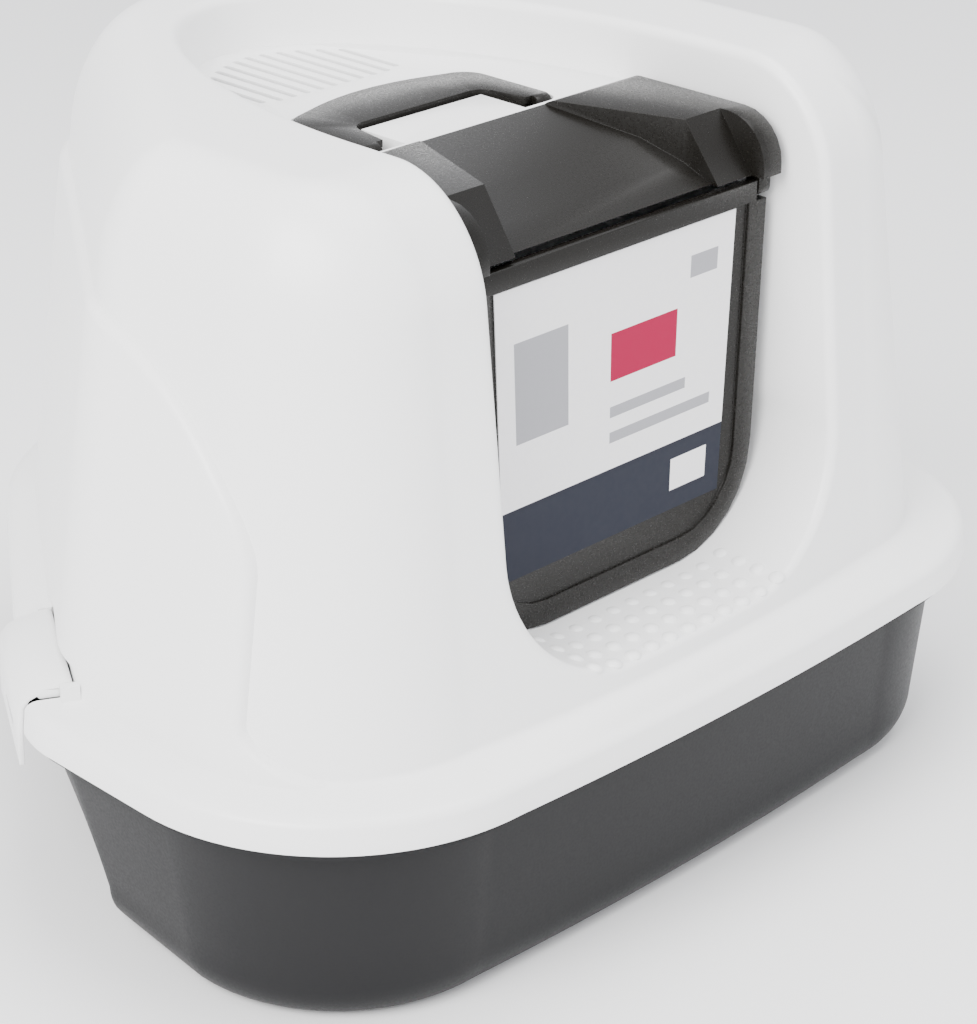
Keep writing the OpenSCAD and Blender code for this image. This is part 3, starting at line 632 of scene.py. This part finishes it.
front_sheet = [add_points(line) for line in panel_sheet(panel_round, panel_proud)]
back_sheet = [add_points(line) for line in panel_sheet(0, panel_sunk)]
for sheet in (front_sheet, back_sheet):
    for below, above in zip(sheet, sheet[1:]):
        panel_strip(below, above)
rims = [rim_of(front_sheet)]
for a in range(18, 91, 18):
    rims.append(add_points(rim_of(panel_sheet(
        panel_round * (1 - sin(radians(a))),
        panel_proud - panel_round * (1 - cos(radians(a)))))))
rims.append(rim_of(back_sheet))
for first, second in zip(rims, rims[1:]):
    panel_strip(first, second)
panel_strip(front_sheet[0], back_sheet[0])
panel_faces.append(tuple(ring[0] for ring in rims))
count = len(panel_points)
panel_points += [(-x, y, z) for x, y, z in panel_points]
panel_faces += [tuple(k + count for k in reversed(face)) for face in panel_faces]
side_panels = new_piece("side_panels", panel_points, panel_faces)
tidy_mesh(side_panels)


def prism(name, outline, low, high):
    """A plate with the given outline between two heights."""
    count = len(outline)
    points = [(x, y, z) for z in (low, high) for x, y in outline]
    faces = [tuple(range(count - 1, -1, -1)), tuple(range(count, 2 * count))]
    faces += [(k, (k + 1) % count, (k + 1) % count + count, k + count) for k in range(count)]
    piece = new_piece(name, points, faces)
    tidy_mesh(piece)
    return piece


def block(name, low, high):
    return prism(name, [(low[0], low[1]), (high[0], low[1]), (high[0], high[1]),
                        (low[0], high[1])], low[2], high[2])


def cut(piece, tool, operation="DIFFERENCE"):
    """Cuts a tool out of a piece, or fuses it on, and removes the tool."""
    change = piece.modifiers.new("cut", "BOOLEAN")
    change.operation = operation
    change.solver = "EXACT"
    change.object = tool
    activate(piece)
    bpy.ops.object.modifier_apply(modifier=change.name)
    bpy.data.objects.remove(tool)


def round_edges(piece, width, angle):
    """Rounds the edges at which a piece turns by more than an angle in degrees."""
    edges = piece.modifiers.new("edges", "BEVEL")
    edges.width = width
    edges.segments = 2
    edges.limit_method = "ANGLE"
    edges.angle_limit = radians(angle)
    activate(piece)
    bpy.ops.object.modifier_apply(modifier=edges.name)


def join(pieces, name):
    deselect_all()
    for piece in pieces:
        piece.select_set(True)
    bpy.context.view_layer.objects.active = pieces[0]
    bpy.ops.object.join()
    joined = bpy.context.object
    joined.name = name
    return joined


# Each latch sits in a window of the flange, hinged between two ears.
latch_len = 0.082
latch_along = 0.028
latch_turn = radians(5)
latch_top = flange_z + 0.0078
hinge_in = 0.0206
window_half = latch_len / 2 + 0.001
window_y = (-hinge_in - 0.0046, 0.0094)
window_z = (skirt_z - 0.005, latch_top + 0.006)
ear_middle = latch_len / 2 + 0.004
ear_half = 0.003
ear_y = (-hinge_in - 0.006, -hinge_in + 0.0036)
ear_z = (flange_z - 0.001, latch_top)
leg_facing = leg_angle(rim)
leg_start = Vector(plan(rim, 4, 0))
latch_middle = leg_start + latch_along * Vector((-sin(leg_facing), cos(leg_facing)))
latch_facing = leg_facing - latch_turn


def latch_block(name, side, low, high):
    """A block with X along the rim and Y outwards at a latch."""
    piece = block(name, low, high)
    place = (Matrix.Translation((*latch_middle, 0))
             @ Matrix.Rotation(latch_facing - pi / 2, 4, "Z"))
    if side < 0:
        place = Matrix.Diagonal((-1, 1, 1, 1)) @ place
    piece.data.transform(place)
    tidy_mesh(piece)
    return piece


for piece in (hood_skin, side_panels):
    for side in (-1, 1):
        cut(piece, latch_block("window", side, (-window_half, window_y[0], window_z[0]),
                               (window_half, window_y[1], window_z[1])))
hood_parts = [hood_skin, side_panels]
for side in (-1, 1):
    for end in (-1, 1):
        hood_parts.append(latch_block(
            "ear", side, (end * ear_middle - ear_half, ear_y[0], ear_z[0]),
            (end * ear_middle + ear_half, ear_y[1], ear_z[1])))

# The upper floor of the recess has a pocket for the handle, a raised land inside the
# handle and a vent of eleven slots behind it.
deck_z = skirt_z + 0.262
deck_gap = 0.0005
lid_back = rim_front + 0.189
deck_front = lid_back + 0.001
pivot_y = lid_back + 0.016
handle_half = 0.066
handle_back = pivot_y + 0.071
handle_top = deck_z + 0.002
handle_bow_r = 0.130
handle_bow_half = 0.046
handle_corner_r = 0.016
handle_corner_y = handle_back - 0.026
handle_end_r = 0.005
pocket_gap = 0.003
pocket_wall = 0.003
pocket_floor = handle_top - 0.0123
pocket_body_z = deck_z - hood_wall - 0.012
land_half = 0.043
land_y = (lid_back + 0.004, pivot_y + 0.025)
slot_w = 0.004
slot_pitch = 0.0096
slot_front = rim_front + 0.296
vent_margin = 0.014
vent_flat_half = 0.040
vent_slant = 0.4
tool_past = 0.010


def circle(x, y, radius, count):
    return [(x + radius * cos(2 * pi * i / count), y + radius * sin(2 * pi * i / count))
            for i in range(count)]


def handle_outline(grow):
    """The handle's bowed outline from above, grown by a gap."""
    points = []
    for i in range(-12, 13):
        turn = asin(handle_bow_half / handle_bow_r) * i / 12
        points += circle(handle_bow_r * sin(turn),
                         handle_back - handle_bow_r + handle_bow_r * cos(turn), grow, 24)
    for side in (-1, 1):
        points += circle(side * (handle_half - handle_corner_r), handle_corner_y,
                         handle_corner_r + grow, 48)
        points += circle(side * (handle_half - handle_end_r), pivot_y, handle_end_r + grow, 32)
    return [points[i] for i in convex_hull_2d(points)]


deck_edge = [(edge_x(5 + i / 60, -deck_gap), edge_y(5 + i / 60, -deck_gap)) for i in range(61)]
deck_half = [(deck_edge[0][0], deck_front)] + [p for p in deck_edge if p[1] > deck_front]
deck_outline = deck_half + [(-x, y) for x, y in reversed(deck_half) if x > merge_within / 2]
deck = prism("deck", deck_outline, deck_z - hood_wall, deck_z)
cut(deck, prism("pocket_body", handle_outline(pocket_gap + pocket_wall), pocket_body_z, deck_z),
    "UNION")
pocket = prism("pocket", handle_outline(pocket_gap), pocket_floor, deck_z + tool_past)
cut(pocket, block("land", (-land_half, land_y[0], pocket_floor - 0.001),
                  (land_half, land_y[1], deck_z)))
cut(deck, pocket)
for i in range(-5, 6):
    x = i * slot_pitch
    reach = (1 - ((abs(x) + slot_w) / recess_half) ** 2) ** (1 / tip_power)
    back = taper_y + (recess_back - taper_y) * reach - vent_margin
    front = slot_front + max(0, abs(x) - vent_flat_half) * vent_slant
    ends = ((back - slot_w / 2, 0), (front + slot_w / 2, pi))
    cut(deck, prism("slot", [(x + slot_w / 2 * cos(first + pi * k / 8),
                              middle + slot_w / 2 * sin(first + pi * k / 8))
                             for middle, first in ends for k in range(9)],
                    deck_z - tool_past, deck_z + tool_past))
round_edges(deck, width=0.0007, angle=50)
hood_parts.append(deck)

# Rests for the lid's sides, bosses for its pins and lugs for the filter cover
rest_x = recess_half - jamb_lean - 0.003
rest_half = 0.005
rest_y = (rim_front + 0.124, rim_front + 0.150)
rest_z = (skirt_z + 0.2337, skirt_z + 0.2397)
boss_x = 0.1168
boss_r = 0.006
boss_len = 0.0064
lid_pivot_y = lid_back - 0.009
lid_pivot_z = skirt_z + 0.259
lug_x = 0.044
lug_half = 0.003
lug_y = (rim_front + 0.283, rim_front + 0.293)
lug_z = (skirt_z + 0.243, deck_z - 0.002)
for side in (-1, 1):
    hood_parts.append(block("rest", (side * rest_x - rest_half, rest_y[0], rest_z[0]),
                            (side * rest_x + rest_half, rest_y[1], rest_z[1])))
    deselect_all()
    bpy.ops.mesh.primitive_cylinder_add(vertices=40, radius=boss_r, depth=boss_len)
    boss = bpy.context.object
    boss.data.transform(Matrix.Translation((side * boss_x, lid_pivot_y, lid_pivot_z))
                        @ Matrix.Rotation(pi / 2, 4, "Y"))
    hood_parts.append(boss)
    hood_parts.append(block("lug", (side * lug_x - lug_half, lug_y[0], lug_z[0]),
                            (side * lug_x + lug_half, lug_y[1], lug_z[1])))

# Round bumps on the step clean the paws.  One dome is copied over a grid of four rows of
# eleven, whose outer columns climb the recess's lower corners.
bump_r = 0.0045
bump_h = 0.0024
bump_pitch_x = 0.014
bump_pitch_y = 0.013
bump_back_y = doorway_y - 0.028
deselect_all()
bpy.ops.mesh.primitive_uv_sphere_add(segments=14, ring_count=8, radius=1)
dome = bpy.context.object
dome.name = "dome"
for row in range(4):
    for column in range(-5, 6):
        x = column * bump_pitch_x
        y = bump_back_y - row * bump_pitch_y
        past = max(abs(x) - lip_half, 0)
        rise = recess_corner_r - sqrt(recess_corner_r ** 2 - past ** 2)
        tilt = -asin(past / recess_corner_r) * (1 if x > 0 else -1)
        bump = dome.copy()
        bump.data = dome.data.copy()
        bpy.context.scene.collection.objects.link(bump)
        bump.data.transform(Matrix.Translation((x, y, lip_z + rise))
                            @ Matrix.Rotation(tilt, 4, "Y")
                            @ Matrix.Diagonal((bump_r, bump_r, bump_h, 1)))
        hood_parts.append(bump)
bpy.data.objects.remove(dome)

hood_plastic = moulded_plastic("hood_plastic", colour=(0.90, 0.90, 0.897),
                               shade=(0.92, 0.92, 0.917), roughness=(0.30, 0.40), pebble=0.18)
dress(join(hood_parts, "hood_moulding"), "hood", hood_plastic,
      "hood_shell", crease=38)

# ---- lid and flap ------------------------------------------------------------------------
# The lid is a smoked, dark moulding with two flat shoulders and a dished middle.  The
# flap hangs from its front and carries a printed card in a shallow frame.
def smooth_moulding(node, body, finish, edge=0):
    """Stands in for a CAD node: its mesh merged, its edges rounded, its curves smooth."""
    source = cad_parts[node]
    piece = source.copy()
    piece.data = source.data.copy()
    piece.parent = None
    piece.name = node + "_moulding"
    piece.animation_data_clear()
    for key in list(piece.keys()):
        del piece[key]
    bpy.context.scene.collection.objects.link(piece)
    activate(piece)
    bpy.ops.object.mode_set(mode="EDIT")
    bpy.ops.mesh.select_all(action="SELECT")
    bpy.ops.mesh.remove_doubles(threshold=merge_within)
    bpy.ops.mesh.tris_convert_to_quads(face_threshold=radians(1), shape_threshold=radians(60))
    bpy.ops.object.mode_set(mode="OBJECT")
    if edge:
        round_edges(piece, width=edge, angle=40)
    dress(piece, body, finish, node, crease=32)


smoked_plastic = moulded_plastic(
    "smoked_plastic", colour=(0.0052, 0.0047, 0.0038), shade=(0.0070, 0.0062, 0.0050),
    roughness=(0.24, 0.34), pebble=0.10, shine=0.22)
smooth_moulding("front_lid", "lid", smoked_plastic, edge=0.0006)
smooth_moulding("swing_flap", "flap", smoked_plastic, edge=0.0006)

# ---- card on the flap --------------------------------------------------------------------
# A thin card in the flap's frame, printed with plain colour blocks: a white ground, a slate
# band below with a white field, a red panel, and grey fields and bars.
card_low, card_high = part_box("label_card")
card_taper = 0.007
card_inks = {
    "white": (0.80, 0.79, 0.80),
    "slate": (0.013, 0.015, 0.025),
    "red": (0.30, 0.0, 0.04),
    "grey": (0.30, 0.30, 0.32),
}


def card_ink(name, colour):
    finish, tree, shader, coords = new_finish("card_" + name)
    fibre = grain(tree, coords, scale=260, detail=4)
    paler = tuple(min(1, c * 1.06 + 0.004) for c in colour)
    tree.links.new(blend_colours(tree, fibre, colour, paler), shader.inputs["Base Color"])
    tree.links.new(spread(tree, fibre, 0.5, 0.62), shader.inputs["Roughness"])
    shader.inputs["Specular IOR Level"].default_value = 0.15
    return finish


# Columns are shares of the half width, rows are heights, and each block is a named ink
# between two columns and two rows.
card_columns = (-1, -0.86, -0.42, -0.30, -0.06, 0.10, 0.52, 0.62, 0.86, 1)
card_rows = (card_low.z, 0.190, 0.208, 0.2175, 0.232, 0.238, 0.246, 0.252, 0.266, 0.292,
             0.306, 0.318, card_high.z)
card_blocks = (("slate", 0, 9, 0, 3), ("red", 4, 6, 8, 9), ("grey", 1, 2, 7, 10),
               ("grey", 4, 8, 4, 5), ("grey", 4, 7, 6, 7), ("grey", 7, 8, 10, 11),
               ("white", 6, 8, 1, 2))


def card_point(column, row, y):
    """Point of the card, which is narrower at its lower edge."""
    height = (row - card_low.z) / (card_high.z - card_low.z)
    return (column * mix(card_high.x - card_taper, card_high.x, height), y, row)


card_points = [card_point(c, r, y) for y in (card_low.y, card_high.y)
               for r in card_rows for c in card_columns]
across = len(card_columns)
rows = len(card_rows)
back_start = across * rows
card_faces = []
card_colours = []
ink_names = list(card_inks)
ground = ink_names.index("white")
for r in range(rows - 1):
    for c in range(across - 1):
        ink = ground
        for name, left, right, low, high in card_blocks:
            if left <= c < right and low <= r < high:
                ink = ink_names.index(name)
        a = r * across + c
        front = (a, a + 1, a + across + 1, a + across)
        card_faces += [front, tuple(k + back_start for k in reversed(front))]
        card_colours += [ink, ground]
edge_loop = list(range(across))
edge_loop += [r * across + across - 1 for r in range(1, rows)]
edge_loop += [(rows - 1) * across + c for c in range(across - 2, -1, -1)]
edge_loop += [r * across for r in range(rows - 2, 0, -1)]
for a, b in zip(edge_loop, edge_loop[1:] + edge_loop[:1]):
    card_faces.append((b, a, a + back_start, b + back_start))
    card_colours.append(ground)
card = new_piece("printed_card", card_points, card_faces)
for name in ink_names:
    card.data.materials.append(card_ink(name, card_inks[name]))
for face, colour in zip(card.data.polygons, card_colours):
    face.material_index = colour
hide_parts("label_card")
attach(card, "flap")

# ---- carrying handle ---------------------------------------------------------------------
# A flat bail of dark plastic that folds down round a raised land on the hood's top.
smooth_moulding("carry_handle", "handle", smoked_plastic, edge=0.001)

# ---- latches -----------------------------------------------------------------------------
# Two white clips hinge between the ears on the hood's flange and hang down over the rim.
for side in ("left", "right"):
    smooth_moulding("latch_" + side, side + "_latch", hood_plastic,
                    edge=0.0005)

# ---- filter ------------------------------------------------------------------------------
# A pad of black carbon foam lies under the vent on a slotted cover that swings down.
filter_foam, foam_tree, foam_shader, foam_coords = new_finish("filter_foam")
foam_cells = grain(foam_tree, foam_coords, scale=900, detail=5)
foam_colour = blend_colours(foam_tree, foam_cells, (0.006, 0.006, 0.006), (0.03, 0.03, 0.03))
foam_tree.links.new(foam_colour, foam_shader.inputs["Base Color"])
foam_shader.inputs["Roughness"].default_value = 0.95
emboss(foam_tree, foam_shader, foam_cells, strength=0.8, distance=0.0006)
smooth_moulding("filter_pad", "filter_door", filter_foam)
smooth_moulding("filter_cover", "filter_door", hood_plastic)

# ---- pins --------------------------------------------------------------------------------
# Round pins of dark plastic carry the lid, flap, handle, latches and filter cover.
pin_plastic = moulded_plastic("pin_plastic", colour=(0.05, 0.05, 0.05),
                              shade=(0.07, 0.07, 0.07), roughness=(0.35, 0.5), pebble=0.2)
for pin, body in (("flap_pin", "lid"), ("lid_pin", "hood"), ("handle_pin", "hood"),
                  ("latch_pin", "hood"), ("filter_cover_pin", "hood")):
    for side in ("left", "right"):
        smooth_moulding(pin + "_" + side, body, pin_plastic)
